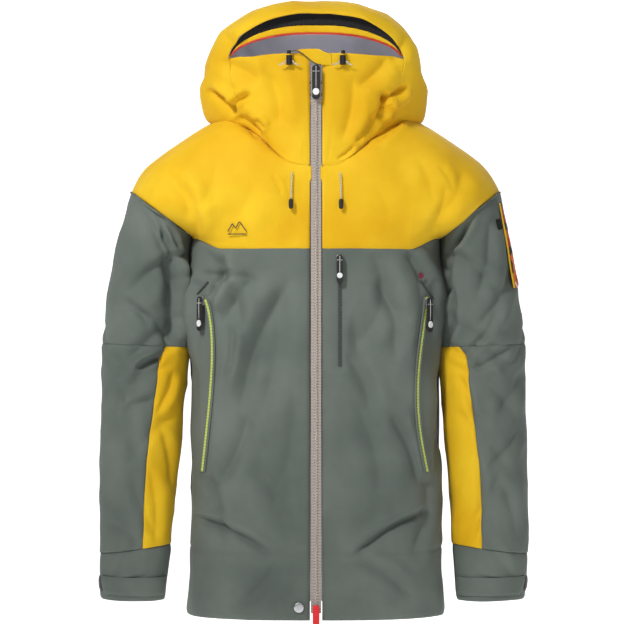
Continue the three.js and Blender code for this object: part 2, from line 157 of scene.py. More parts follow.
def sleevePoint(degrees, station, swing):
    # tilted ellipses from the cuff, station 0, to the armhole, station 7
    # angle 0 is the front, 90 the outer side
    innerX, innerZ, outerX, outerZ, halfDepth, middleY = softRows(sleeveTable, station)
    across = (1 + np.sin(np.radians(degrees))) / 2
    if swing < 0:
        # the right sleeve hangs closer above the elbow and fuller at the cuff
        outerX = outerX - 8 * np.exp(-((station - 5.7) / 1.1) ** 2) + 7 * smooth((3 - station) / 1.2)
    hang = swing * (1 - station / 7)
    return np.stack([mix(innerX, outerX, across) + hang, middleY - halfDepth * np.cos(np.radians(degrees)),
                     mix(innerZ, outerZ, across)], -1)


def hoodPoint(degrees, rise, sag=0.0):
    # rise 0 is the neckline, 1 the level of the collar's edge, 2 the crown
    turn = np.abs(degrees)
    share = 0.42 * np.where(turn <= 90, turn, 180 - turn) / 90
    neck = [np.where(turn <= 90, a, b) for a, b in zip(softRows(frontNeck, share), softRows(backNeck, share))]
    c = np.cos(np.radians(turn))
    wideX = jacket["hoodWidth"] * full(np.sin(np.radians(turn)))
    wideY = -np.where(c > 0, jacket["hoodFront"], jacket["hoodBack"]) * full(c)
    wideZ = rows(hoodLevel, turn, eased=True)[0]
    side = smooth(np.sin(np.radians(turn)))
    out = np.sin(np.pi * np.minimum(rise, 1) / 2)
    lift = (jacket["lobeLift"] - sag) * side * np.sin(np.pi * np.minimum(1, rise * 1.6))
    low = np.stack([mix(neck[0], wideX, out), mix(neck[1], wideY, out),
                    mix(neck[2] + jacket["neckGap"], wideZ, np.minimum(rise, 1)) + lift], -1)
    over = np.pi / 2 * np.clip(rise - 1, 0, 1)
    shrink = np.cos(over) ** 0.85
    push = jacket["brimReach"] * smooth(c) * np.sin(2 * over)
    high = np.stack([wideX * shrink, wideY * shrink - push, mix(wideZ, jacket["hoodTop"], np.sin(over))], -1)
    p = np.where((rise <= 1)[..., None], low, high)
    p[..., 0] *= np.where(degrees < 0, -1, 1)
    return p


def gridNormals(p):
    # outward normals of a grid whose first axis runs to the right and second upwards, seen from outside
    n = np.cross(np.gradient(p, axis=0), np.gradient(p, axis=1))
    return n / np.maximum(np.linalg.norm(n, axis=-1, keepdims=True), 1e-9)


def gridFaces(columns, lines, offset=0):
    i, j = np.meshgrid(np.arange(columns - 1), np.arange(lines - 1), indexing="ij")
    a = offset + i * lines + j
    return np.stack([a, a + lines, a + lines + 1, a + 1], -1).reshape(-1, 4)


def makeMesh(name, vertices, faces, materials, uv=None, smoothShade=True):
    mesh = bpy.data.meshes.new(name)
    mesh.from_pydata(np.asarray(vertices).tolist(), [], faces if isinstance(faces, list) else faces.tolist())
    for material in materials:
        mesh.materials.append(material)
    mesh.polygons.foreach_set("use_smooth", [smoothShade] * len(mesh.polygons))
    if uv is not None:
        layer = mesh.uv_layers.new(name="UVMap")
        index = np.empty(len(mesh.loops), int)
        mesh.loops.foreach_get("vertex_index", index)
        layer.data.foreach_set("uv", np.asarray(uv, float)[index].ravel())
    piece = bpy.data.objects.new(name, mesh)
    bpy.context.collection.objects.link(piece)
    return piece


def applyModifiers(piece):
    bpy.context.view_layer.update()
    evaluated = piece.evaluated_get(bpy.context.evaluated_depsgraph_get())
    mesh = bpy.data.meshes.new_from_object(evaluated)
    piece.modifiers.clear()
    piece.data = mesh
    return piece


def mergeDoubles(piece, distance=2e-4):
    work = bmesh.new()
    work.from_mesh(piece.data)
    bmesh.ops.remove_doubles(work, verts=work.verts, dist=distance)
    work.to_mesh(piece.data)
    work.free()
    return piece


def thicken(piece, thickness, inside=0):
    # gives the sheet its wall inwards; inside is the lining's material index
    solid = piece.modifiers.new("wall", "SOLIDIFY")
    solid.thickness = thickness * milli
    solid.offset = -1
    solid.material_offset = inside
    solid.use_quality_normals = True
    return applyModifiers(piece)


print("camera and cords")
setCamera()

tailRoute = [(38.5, -115.5, 719), (38.8, -117.5, 716), (39.1, -118.4, 708), (39.6, -119.2, 696),
             (40, -120, 684), (40.3, -120.6, 677)]


def linearColour(code):
    # an sRGB hex value as linear red, green, blue, alpha
    parts = [int(code[i:i + 2], 16) / 255 for i in (1, 3, 5)]
    return [c / 12.92 if c <= 0.04045 else ((c + 0.055) / 1.055) ** 2.4 for c in parts] + [1]


def addNode(tree, kind, settings=None, links=None):
    # one node with its settings, and links from sockets of other nodes to its own inputs
    node = tree.nodes.new(kind)
    for key, value in (settings or {}).items():
        if isinstance(key, int) or key in node.inputs:
            node.inputs[key].default_value = value
        else:
            setattr(node, key, value)
    for key, socket in (links or {}).items():
        tree.links.new(socket, node.inputs[key])
    return node


def newMaterial(name, roughness, metallic=0.0, **extra):
    material = bpy.data.materials.new(name)
    material.use_nodes = True
    tree = material.node_tree
    shader = tree.nodes["Principled BSDF"]
    shader.inputs["Roughness"].default_value = roughness
    shader.inputs["Metallic"].default_value = metallic
    for key, value in extra.items():
        shader.inputs[key.replace("_", " ")].default_value = value
    return material, tree, shader


def colourRamp(tree, factor, low, high, start=0.3, end=0.7):
    ramp = addNode(tree, "ShaderNodeValToRGB", links={"Fac": factor})
    ramp.color_ramp.elements[0].color = linearColour(low)
    ramp.color_ramp.elements[1].color = linearColour(high)
    ramp.color_ramp.elements[0].position, ramp.color_ramp.elements[1].position = start, end
    return ramp.outputs["Color"]


def wovenShell(name, dark, light, threadMm=1.3, roughness=0.75, bump=0.25, sheen=0.04):
    # three-layer polyester shell, plain woven: a matt face with a faint thread grain, soft mottling where the
    # laminate pulls, and a low sheen at grazing angles; the 0.3 mm thread is drawn coarser so that it shows
    material, tree, shader = newMaterial(name, roughness, Sheen_Weight=sheen, Sheen_Roughness=0.5, IOR=1.3)
    place = addNode(tree, "ShaderNodeTexCoord").outputs["Object"]
    patches = addNode(tree, "ShaderNodeTexNoise", {"Scale": 9.0, "Detail": 4.0}, {"Vector": place})
    colour = colourRamp(tree, patches.outputs["Fac"], dark, light)
    tree.links.new(colour, shader.inputs["Base Color"])
    threads = []
    waveScale = 1000 / (threadMm * 2 * math.pi)
    for axis in ("X", "Z"):
        wave = addNode(tree, "ShaderNodeTexWave",
                       {"bands_direction": axis, "Scale": waveScale, "Distortion": 0.6, "Detail": 1.0},
                       {"Vector": place})
        threads.append(wave.outputs["Fac"])
    weave = addNode(tree, "ShaderNodeMath", {"operation": "MULTIPLY"}, {0: threads[0], 1: threads[1]})
    crumple = addNode(tree, "ShaderNodeTexNoise", {"Scale": 38.0, "Detail": 6.0, "Roughness": 0.55},
                      {"Vector": place})
    both = addNode(tree, "ShaderNodeMath", {"operation": "MULTIPLY_ADD", 1: 0.12},
                   {0: weave.outputs[0], 2: crumple.outputs["Fac"]})
    relief = addNode(tree, "ShaderNodeBump", {"Strength": bump, "Distance": 0.002},
                     {"Height": both.outputs[0]})
    tree.links.new(relief.outputs["Normal"], shader.inputs["Normal"])
    return material


def ribbedCloth(name, colour, pitchMm=1.6, roughness=0.8, axis="Z", bump=0.5):
    # woven zip tape or knitted band: fine ribs across it catch the light in lines
    material, tree, shader = newMaterial(name, roughness, Sheen_Weight=0.2, IOR=1.45)
    place = addNode(tree, "ShaderNodeTexCoord").outputs["Object"]
    ribScale = 1000 / (pitchMm * 2 * math.pi) / 1.6
    ribs = addNode(tree, "ShaderNodeTexWave", {"bands_direction": axis, "Scale": ribScale,
                                               "Distortion": 0.3}, {"Vector": place})
    shade = addNode(tree, "ShaderNodeHueSaturation", {"Color": linearColour(colour), "Value": 1.0})
    value = addNode(tree, "ShaderNodeMapRange", {"To Min": 0.8, "To Max": 1.12},
                    {"Value": ribs.outputs["Fac"]})
    tree.links.new(value.outputs["Result"], shade.inputs["Value"])
    tree.links.new(shade.outputs["Color"], shader.inputs["Base Color"])
    relief = addNode(tree, "ShaderNodeBump", {"Strength": bump, "Distance": 0.0006},
                     {"Height": ribs.outputs["Fac"]})
    tree.links.new(relief.outputs["Normal"], shader.inputs["Normal"])
    return material


def mouldedPart(name, colour, roughness=0.5, metallic=0.0, grain=350.0, coat=0.0):
    # moulded rubber, acetal or cast zinc: a fine even grain breaks up the highlight, edges stay soft
    material, tree, shader = newMaterial(name, roughness, metallic, Coat_Weight=coat)
    place = addNode(tree, "ShaderNodeTexCoord").outputs["Object"]
    noise = addNode(tree, "ShaderNodeTexNoise", {"Scale": grain, "Detail": 3.0}, {"Vector": place})
    shade = addNode(tree, "ShaderNodeHueSaturation", {"Color": linearColour(colour)})
    value = addNode(tree, "ShaderNodeMapRange", {"To Min": 0.82, "To Max": 1.15},
                    {"Value": noise.outputs["Fac"]})
    tree.links.new(value.outputs["Result"], shade.inputs["Value"])
    tree.links.new(shade.outputs["Color"], shader.inputs["Base Color"])
    relief = addNode(tree, "ShaderNodeBump", {"Strength": 0.15, "Distance": 0.0004},
                     {"Height": noise.outputs["Fac"]})
    tree.links.new(relief.outputs["Normal"], shader.inputs["Normal"])
    return material


def printedCloth(name):
    # screen-printed polyester pocket lining: irregular blots of four inks on a warm ground
    material, tree, shader = newMaterial(name, 0.7, IOR=1.45)
    place = addNode(tree, "ShaderNodeTexCoord").outputs["Object"]
    cells = addNode(tree, "ShaderNodeTexVoronoi", {"Scale": 90.0, "Randomness": 1.0}, {"Vector": place})
    ramp = addNode(tree, "ShaderNodeValToRGB", links={"Fac": cells.outputs["Color"]})
    ramp.color_ramp.interpolation = "CONSTANT"
    for k, (at, ink) in enumerate(((0.0, "#1C1A1B"), (0.3, "#D9702A"), (0.55, "#B8302A"), (0.8, "#E9E2D6"))):
        element = ramp.color_ramp.elements[k] if k < 2 else ramp.color_ramp.elements.new(at)
        element.position, element.color = at, linearColour(ink)
    tree.links.new(ramp.outputs["Color"], shader.inputs["Base Color"])
    return material


print("materials")
greyShell = wovenShell("wovenPolyesterGrey", "#59615B", "#6D756E")
yellowShell = wovenShell("wovenPolyesterYellow", "#DBA80A", "#EBC122", roughness=0.72)
lining = wovenShell("tricotLiningGrey", "#8F8F98", "#A9A9B2", threadMm=1.0, roughness=0.8)
blackMesh = ribbedCloth("knittedMeshBlack", "#100E10", 1.8, axis="X")
tapeBeige = ribbedCloth("wovenZipTape", "#A89C93", 1.6)
tapeLime = ribbedCloth("wovenZipTapeLime", "#BCC961", 1.6)
tapeDark = ribbedCloth("wovenZipTapeDark", "#3B403C", 1.6)
toothPlastic = mouldedPart("acetalTeeth", "#D3C9C2", 0.4)
rubberBlack = mouldedPart("mouldedRubberBlack", "#1A181B", 0.55)
rubberRed = mouldedPart("mouldedRubberRed", "#E3242C", 0.45)
plasticBlack = mouldedPart("mouldedAcetalBlack", "#161416", 0.4)
zincSatin = mouldedPart("castZincSatin", "#C9CBCC", 0.32, metallic=1.0)
whiteDot = mouldedPart("mouldedRubberWhite", "#E6E8E6", 0.45)
cordGrey = ribbedCloth("braidedCordGrey", "#B4B4AE", 1.4)
pipingRed = ribbedCloth("coatedPipingRed", "#C5331A", 2.0, roughness=0.5)
threadDark = ribbedCloth("embroideryThread", "#5A4E2C", 0.9, axis="X")
threadRed = ribbedCloth("bartackThreadRed", "#7A1F35", 0.9, axis="X")
printCloth = printedCloth("printedPolyester")


def dressNodes():
    # the CAD nodes that stay take a material by what they are
    for names, material in ((("zip_tape_left", "zip_tape_right"), tapeBeige), (("chest_zip_tape",), tapeDark),
                            (("drawcord_end_left", "drawcord_end_right"), rubberBlack),
                            (("cord_lock_left", "cord_lock_right", "sleeve_pocket_slider",
                              "cord_lock_button_left", "cord_lock_button_right"), plasticBlack),
                            (("hanger_loop",), blackMesh), (("side_zip_dot",), threadRed)):
        for name in names:
            node = bpy.data.objects[name]
            node.data.materials.clear()
            node.data.materials.append(material)


def addTail(side, sign):
    points = toFrame([(sign * x, y, z) for x, y, z in tailRoute])
    curve = bpy.data.curves.new(f"drawcord_{side}", "CURVE")
    curve.dimensions = "3D"
    curve.bevel_depth = 0.0011
    curve.bevel_resolution = 3
    spline = curve.splines.new("POLY")
    fine = 24
    at = np.linspace(0, len(points) - 1, fine)
    line = np.stack([np.interp(at, np.arange(len(points)), points[:, k]) for k in range(3)], -1)
    spline.points.add(fine - 1)
    spline.points.foreach_set("co", np.concatenate([line, np.ones((fine, 1))], 1).ravel())
    curve.materials.append(cordGrey)
    cord = bpy.data.objects.new(f"drawcord_{side}", curve)
    bpy.context.collection.objects.link(cord)
    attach(cord, "torso")
    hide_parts(f"drawcord_tail_{side}")


for side, sign in sides:
    addTail(side, sign)


# Folds are drawn as soft grooves and ridges: start and end in the front view (x, z from the hem), half
# width and depth in millimetres (a ridge is negative); a fold fades towards both of its ends.
def foldDepth(points, folds):
    total = np.zeros(points.shape[:-1])
    x, z = points[..., 0], points[..., 2]
    for x0, z0, x1, z1, width, depth in folds:
        length = math.hypot(x1 - x0, z1 - z0)
        ux, uz = (x1 - x0) / length, (z1 - z0) / length
        along = (x - x0) * ux + (z - z0) * uz
        aside = -(x - x0) * uz + (z - z0) * ux
        aside = aside - 0.06 * length * np.sin(np.pi * np.clip(along / length, 0, 1))
        fade = smooth(along / (0.3 * length) + 0.4) * smooth((length - along) / (0.3 * length) + 0.4)
        near = aside / (0.75 * width)
        groove = np.exp(-np.abs(near) ** 1.5) - 0.6 * np.exp(-((near - 2.1) / 1.3) ** 2)
        total += depth * groove * fade
    return total


def crumple(points, seed, size=95.0, height=2.2):
    # a sum of slanted waves whose phases lean on one another, sharpened into shallow creases
    draw = np.random.default_rng(seed)
    total = np.zeros(points.shape[:-1])
    for _ in range(7):
        direction = draw.normal(size=3) * (1, 0.7, 0.45)
        direction /= np.linalg.norm(direction)
        wave = 2 * np.pi / (size * draw.uniform(0.5, 1.5))
        bend = draw.uniform(0.5, 1.2) * np.sin(points @ (draw.normal(size=3) * 0.016) + draw.uniform(0, 6))
        total += 1 - np.abs(np.sin(points @ direction * wave / 2 + bend + draw.uniform(0, 6))) ** 0.8 * 1.6
    return height * total / 3.5


def edgeRoll(u, v, spanU, spanV, depth=1.5, width=4.0, which=(1, 1, 1, 1)):
    # the seams: the cloth turns in a little along its stitched edges (start u, end u, start v, end v)
    gaps = (u * spanU, (1 - u) * spanU, v * spanV, (1 - v) * spanV)
    return -depth * sum(on * np.exp(-(gap / width) ** 2) for on, gap in zip(which, gaps))


def surfaceNormals(surface, u, v, step=0.01):
    # outward normals from small steps on the surface itself, so that neighbouring patches agree at their seam
    n = np.cross(surface(u + step, v) - surface(u - step, v), surface(u, v + step) - surface(u, v - step))
    return n / np.maximum(np.linalg.norm(n, axis=-1, keepdims=True), 1e-9)


def clothGrid(surface, columns, lines, seed, folds=(), crumpleSize=95.0, crumpleHeight=2.0,
              seams=(1, 1, 1, 1), extra=None, pinned=(0, 0, 0, 0), exact=False, calm=None):
    # a sheet over u (to the right, seen from outside) and v (upwards), with its folds and seams, in mm
    u, v = np.meshgrid(np.linspace(0, 1, columns), np.linspace(0, 1, lines), indexing="ij")
    p = surface(u, v)
    normal = surfaceNormals(surface, u, v) if exact else gridNormals(p)
    spanU = np.linalg.norm(np.diff(p[:, lines // 2], axis=0), axis=-1).sum()
    spanV = np.linalg.norm(np.diff(p[columns // 2], axis=0), axis=-1).sum()
    move = crumple(p, seed, crumpleSize, crumpleHeight) - 1.35 * foldDepth(p, folds)
    for on, gap in zip(pinned, (u * spanU, (1 - u) * spanU, v * spanV, (1 - v) * spanV)):
        # a pinned edge keeps to its seam
        move = move * smooth(gap / 16 + 0.05) if on else move
    move = move + edgeRoll(u, v, spanU, spanV, which=seams)
    if extra is not None:
        move = move + extra(u, v, p)
    if calm is not None:
        move = move * calm(p)
    return p + normal * move[..., None], np.stack([u * spanU, v * spanV], -1) * milli


def joinGrids(name, grids, materials, merge=True):
    vertices, faces, uvs, offset = [], [], [], 0
    for p, uv in grids:
        vertices.append(toFrame(p).reshape(-1, 3))
        faces.append(gridFaces(*p.shape[:2], offset))
        uvs.append(uv.reshape(-1, 2))
        offset += p.shape[0] * p.shape[1]
    piece = makeMesh(name, np.concatenate(vertices), np.concatenate(faces), materials, np.concatenate(uvs))
    return mergeDoubles(piece) if merge else piece


def onSide(sign, surface):
    # mirrors a right-hand surface to the left and keeps u running to the right
    def placed(u, v):
        p = surface(u if sign > 0 else 1 - u, v)
        p[..., 0] *= sign
        return p
    return placed


bodyFolds = {
    -1: [(-152, 478, -98, 549, 14, 6), (-122, 340, -44, 540, 17, 8), (-136, 470, -148, 380, 8, 5),
         (-168, 545, -104, 550, 9, 5), (-196, 160, -78, 108, 8, 8), (-185, 240, -150, 120, 12, 6),
         (-150, 585, -186, 500, 11, 7),
         (-130, 562, -186, 556, 9, 5), (-60, 520, -90, 330, 24, 6), (-110, 330, -165, 210, 16, 7),
         (-35, 380, -70, 180, 22, 6), (-60, 92, -130, 20, 14, 5), (-205, 420, -190, 250, 10, 6),
         (-175, 590, -120, 470, 14, 6), (-100, 250, -40, 130, 18, 5)],
    1: [(150, 480, 100, 545, 14, 5), (110, 340, 60, 480, 18, 6), (66, 110, 182, 172, 8, 8),
        (182, 240, 160, 110, 12, 6), (150, 590, 186, 505, 11, 7),
        (95, 585, 130, 420, 18, 6), (60, 360, 105, 200, 22, 6), (120, 330, 170, 220, 14, 7),
        (70, 95, 150, 40, 12, 5), (205, 400, 190, 230, 10, 6), (45, 430, 90, 330, 15, 5),
        (120, 560, 70, 440, 20, 4)],
}


def sideZipLine(sign, z):
    # how far out the curved pocket zip lies at a height
    drop = np.clip((519 - z) / 284, 0, 1)
    return (184 if sign < 0 else 180) - 16 * np.sin(np.pi * drop ** (0.6 if sign < 0 else 1.2))


def besideZip(p):
    # the stiff zips and their welts hold the cloth flat around them and along the sliders' ways
    x, z = p[..., 0], p[..., 2]
    aside = np.abs(x) - np.where(x < 0, sideZipLine(-1, z), sideZipLine(1, z))
    straight = np.abs(x) - np.where(x < 0, 184, 181)
    near = np.maximum(np.exp(-(aside / 12) ** 4), np.exp(-(straight / 12) ** 4))
    flat = smooth((z - 215) / 20) * smooth((552 - z) / 16) * (p[..., 1] < 0) * near
    chest = smooth((z - 395) / 10) * smooth((597 - z) / 10) * (p[..., 1] < 0) * np.exp(-((x - 38) / 11) ** 4)
    return (1 - flat) * (1 - chest)


def sideBulge(p):
    # the loose cloth below the armpit stands out sideways, more on the left
    height = np.exp(-((p[..., 2] - 500) / 62) ** 2)
    most = np.where(p[..., 0] < 0, 20, 9)
    return most * height * smooth((np.abs(p[..., 0]) - 176) / 28)


def hemAndSides(u, v, p, hemLine=108, deep=1.6, halfWidth=3.5):
    # the hem facing's seam, a shallow groove all round, and the cloth gathered under the arm
    return sideBulge(p) - deep * np.exp(-((p[..., 2] - hemLine) / halfWidth) ** 2)


def makeBody():
    for side, sign in sides:
        def frontPanel(u, v):
            z = v * (yokeEdge(90 * u) + 2)
            start = bodyAngle(jacket["halfTape"] + 0.8, z)
            return bodyPoint(mix(start, 90, u), z)

        grid = clothGrid(onSide(sign, frontPanel), 90, 200, 11 + sign, bodyFolds[sign], 110, 2.4,
                         extra=hemAndSides, pinned=(sign > 0, sign < 0, 0, 1), calm=besideZip)
        piece = thicken(joinGrids(f"frontPanel_{side}", [grid], [greyShell, lining]), jacket["wall"], 1)
        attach(piece, "torso")
        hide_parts(f"front_{side}")
    backFolds = [(-120, 480, -30, 300, 22, 4), (120, 470, 40, 290, 22, 4), (-170, 250, -60, 150, 16, 4),
                 (170, 240, 50, 140, 16, 4), (0, 250, 10, 60, 26, 3), (-190, 560, -120, 470, 14, 4),
                 (190, 560, 120, 470, 14, 4)]
    grid = clothGrid(lambda u, v: bodyPoint(90 + 180 * u, v * yokeEdge(90 + 180 * u)), 170, 200, 5,
                     backFolds, 120, 3.0, extra=hemAndSides)
    piece = thicken(joinGrids("backPanel", [grid], [greyShell, lining]), jacket["wall"], 1)
    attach(piece, "torso")
    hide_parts("back")


yokeFolds = {
    -1: [(-140, 820, -92, 778, 9, 4), (-215, 700, -190, 620, 14, 5), (-240, 720, -205, 640, 16, 5),
         (-160, 740, -185, 660, 18, 3), (-70, 712, -55, 682, 4, 2), (-100, 700, -130, 640, 18, 2)],
    1: [(140, 820, 98, 775, 9, 4), (210, 700, 188, 622, 14, 5), (238, 722, 205, 645, 16, 5),
        (165, 745, 190, 665, 18, 3), (200, 730, 222, 690, 8, 2), (95, 700, 120, 640, 18, 2)],
}


def makeYoke():
    for side, sign in sides:
        def front(u, v):
            start = bodyAngle(jacket["halfTape"], np.array(600.0)) / 90
            p = yokePoint(mix(start, 1, u), v, True)
            p[..., 2] -= 2.5 * (1 - smooth(v * 20))
            p[..., 0] = np.maximum(p[..., 0], jacket["halfTape"] + 0.8)
            return p

        def back(u, v):
            p = yokePoint(1 - u, v, False)
            return p
        for name, surface, seams in ((f"yokeFront_{side}", front, (1, 1, 1, 0)),
                                     (f"yokeBack_{side}", back, (1, 0, 1, 0))):
            seamList = seams if sign > 0 else (seams[1], seams[0], seams[2], seams[3])
            folds = yokeFolds[sign] if surface is front else ()
            atZip = surface is front
            grid = clothGrid(onSide(sign, surface), 110, 90, 23, folds, 120, 1.8, seams=seamList,
                             pinned=(atZip and sign > 0, atZip and sign < 0, 1, 1))
            piece = thicken(joinGrids(name, [grid], [yellowShell, lining]), jacket["wall"], 1)
            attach(piece, "torso")
            node = "yoke_front_" if surface is front else "yoke_back_"
            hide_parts(node + side)


print("body and yoke")
makeBody()
makeYoke()


# fold rows of the sleeves: start station and angle, end station and angle, half width and depth in mm
sleeveFolds = [(6.2, -60, 4.9, 20, 13, 6), (5.9, -80, 4.5, -25, 12, 5), (4.6, -70, 3.7, 30, 12, 6),
               (4.1, -60, 3.3, 10, 10, 5), (3.7, -40, 2.7, 60, 13, 5), (4.4, 100, 3.6, 30, 12, 4),
               (2.9, -50, 2.2, 20, 11, 4), (2.3, 10, 1.5, -40, 10, 4), (1.5, -30, 0.8, 40, 9, 3.5),
               (4.5, 200, 3.6, 120, 13, 6), (3.9, 230, 3.0, 150, 13, 5), (6.1, 240, 4.8, 160, 14, 6),
               (2.8, 220, 2.0, 150, 12, 4), (1.9, 120, 1.2, 190, 10, 4), (0.9, -40, 0.5, 40, 8, 2.5)]
# folds seen from the front, written as for the body
frontFolds = {
    -1: [(-273, 684, -245, 610, 5, 7), (-249, 625, -227, 530, 5, 9), (-259, 668, -226, 585, 5, 7),
         (-290, 669, -232, 540, 10, 5), (-240, 575, -240, 440, 12, 16), (-318, 515, -270, 470, 9, 5),
         (-292, 402, -252, 420, 6, 9), (-312, 336, -262, 352, 8, 4), (-330, 380, -300, 250, 12, 4),
         (-290, 500, -232, 440, 8, 5), (-335, 150, -290, 120, 9, 3), (-270, 235, -262, 120, 9, 3),
         (-232, 395, -258, 330, 7, 4), (-250, 300, -236, 210, 7, 4)],
    1: [(260, 690, 216, 590, 6, 9), (218, 600, 206, 520, 6, 8), (250, 655, 225, 600, 8, 5),
        (214, 545, 212, 440, 9, 12), (322, 560, 262, 470, 11, 5), (285, 640, 262, 520, 12, 5),
        (320, 440, 250, 400, 9, 6), (300, 500, 236, 420, 8, 5), (336, 400, 300, 330, 12, 4),
        (330, 300, 280, 240, 10, 4), (300, 220, 330, 120, 12, 4), (262, 250, 256, 130, 9, 3),
        (232, 390, 255, 320, 7, 4)],
}
cuffTop = 1.2  # the station of the cuff's seam
stationMm = 96  # a station's height, and a degree round the sleeve, in millimetres
degreeMm = 1.15


def sleeveFoldDepth(degrees, station, seedShift):
    total = np.zeros(degrees.shape)
    for k, (s0, a0, s1, a1, width, depth) in enumerate(sleeveFolds):
        a0, a1 = a0 + 9 * math.sin(k + seedShift), a1 + 9 * math.cos(2 * k + seedShift)
        for turn in (-360, 0, 360):
            x0, x1 = (a0 + turn) * degreeMm, (a1 + turn) * degreeMm
            z0, z1 = s0 * stationMm, s1 * stationMm
            flat = np.stack([degrees * degreeMm, 0 * degrees, station * stationMm], -1)
            total += foldDepth(flat, [(x0, z0, x1, z1, width, depth)])
    return total


def sleevePart(side, sign, fromAngle, toAngle, low, high, columns, lines, seams):
    swing = sleeveSwing[side]

    def place(u, v):
        # the seams between the panels wander, so each end of a panel takes its angle and height from them
        seam = rows(seamTable, mix(low, high, v))[0]
        start = seam if fromAngle == -17 else fromAngle
        end = seam if toAngle == -17 else toAngle
        angle = mix(start, end, u)
        slant = 0.07 * (1 - np.sin(np.radians(angle)))
        return angle, mix(low + slant * (low == cuffTop), high + slant * (high == cuffTop), v)

    def surface(u, v):
        return sleevePoint(*place(u, v), swing)

    def folds(u, v, p):
        angle, station = place(u if sign > 0 else 1 - u, v)
        depth = sleeveFoldDepth(angle, station, 0.7 * sign)
        facing = smooth(np.cos(np.radians(angle)) * 1.6 + 0.3)
        depth = 0.9 * depth + 1.3 * foldDepth(p, frontFolds[sign]) * facing
        calm = smooth((7 - station) / 0.5) * smooth(station / 0.25 + 0.2)
        return -depth * calm
    seamList = seams if sign > 0 else (seams[1], seams[0], seams[2], seams[3])
    return clothGrid(onSide(sign, surface), columns, lines, 31 + sign, (), 80, 2.6, seams=seamList,
                     extra=folds, pinned=(0, 0, 0, high > 7))


def makeSleeves():
    plan = (("sleeve_upper", -180, 180, 4, 7.25, 130, 110, (0, 0, 1, 0), greyShell, (0.48, 0.24), 0.1),
            ("sleeve_lower", -17, 197, cuffTop, 4, 84, 110, (1, 1, 0, 1), greyShell, (0.26, 0.345), None),
            ("sleeve_underarm", -163, -17, cuffTop, 4, 60, 110, (1, 1, 0, 1), yellowShell, (0.17, 0.345),
             None),
            ("cuff", -180, 180, -0.02, cuffTop, 130, 44, (0, 0, 1, 1), greyShell, (0.37, 0.07), None))
    for side, sign in sides:
        for name, start, end, low, high, columns, lines, seams, cloth, flat, area in plan:
            grid = sleevePart(side, sign, start, end, low, high, columns, lines, seams)
            inner = cloth if name == "sleeve_upper" else lining
            piece = joinGrids(f"{name}Cloth_{side}", [grid], [cloth, inner])
            thicken(piece, jacket["wall"], 1)
            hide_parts(f"{name}_{side}")
            if name == "sleeve_upper":
                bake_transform(piece)
            else:
                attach(piece, f"sleeve_{side}")


hoodFolds = [(-176, 856, -132, 818, 7, 10), (-138, 826, -108, 848, 6, 6), (-150, 900, -95, 868, 14, 6),
             (-100, 806, -84, 790, 6, 4), (-128, 812, -92, 776, 10, 7), (-75, 880, -60, 800, 16, 5),
             (148, 862, 108, 838, 7, 10), (112, 850, 104, 808, 7, 10), (96, 812, 66, 768, 9, 6),
             (118, 905, 70, 860, 14, 6), (60, 870, 44, 775, 14, 5), (62, 762, 36, 742, 5, 4),
             (-150, 945, -120, 905, 10, 4), (148, 940, 122, 900, 10, 4)]
lobeHang = 44  # how far the hood's sides hang down over the shoulders, in millimetres


def hoodGrid(fromAngle, toAngle, lowRise, highRise, columns, lines, seams, folds=()):
    def surface(u, v):
        angle = mix(fromAngle, toAngle, u)
        wrapped = (angle + 180) % 360 - 180
        low = lowRise(wrapped) if callable(lowRise) else lowRise
        high = highRise(wrapped) if callable(highRise) else highRise
        rise = mix(low, high, v)
        lobe = smooth((np.abs(wrapped) - 50) / 40) * smooth((165 - np.abs(wrapped)) / 50)
        p = hoodPoint(wrapped, rise, lobeHang * lobe)
        p[..., 0] += np.sign(wrapped) * 21 * lobe * np.sin(np.pi * np.clip(rise, 0, 1) ** 0.7)
        p[..., 0] -= 6 * smooth((np.abs(wrapped) - jacket["collarTurn"]) / 60) * np.clip(rise, 0, 1)
        return p
    return clothGrid(surface, columns, lines, 47, folds, 90, 2.4, seams=seams,
                     pinned=(0, 0, lowRise == 0, 0), exact=True)


def makeHood():
    turn = jacket["collarTurn"]
    for side, sign in sides:
        def collar(u, v):
            p = hoodPoint(turn * u, v)
            p[..., 0] += (jacket["halfTape"] + 0.8) * (1 - u) ** 2
            return p
        seams = (1, 0, 1, 1) if sign > 0 else (0, 1, 1, 1)
        grid = clothGrid(onSide(sign, collar), 70, 90, 47, hoodFolds, 90, 2.4, seams=seams,
                         pinned=(sign > 0, sign < 0, 1, 0), exact=True)
        piece = thicken(joinGrids(f"collarHalf_{side}", [grid], [yellowShell, lining]), jacket["wall"], 1)
        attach(piece, "torso")
        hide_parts(f"collar_{side}")
    around = hoodGrid(turn, 360 - turn, 0.0, 1.985, 200, 150, (0, 0, 1, 0), hoodFolds)
    brim = hoodGrid(-turn, turn, brimRise, 1.985, 80, 60, (0, 0, 1, 0), hoodFolds)
    # the last ring of both sheets is drawn in to its middle and closes the crown
    middle = np.concatenate([around[0][:, -1], brim[0][:, -1]]).mean(axis=0)
    inward = np.array([0, 0.5, 1])[None, :, None]
    caps = [(mix(p[:, -1:], middle, inward), np.repeat(uv[:, -1:], 3, axis=1)) for p, uv in (around, brim)]
    shell = joinGrids("hoodShell", [around, brim, *caps], [yellowShell, lining], merge=False)
    mergeDoubles(shell, 6e-4)
    thicken(shell, jacket["wall"], 1)
    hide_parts("hood_side_left", "hood_side_right", "hood_back", "hood_crown", "hood_brim")
    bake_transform(shell)


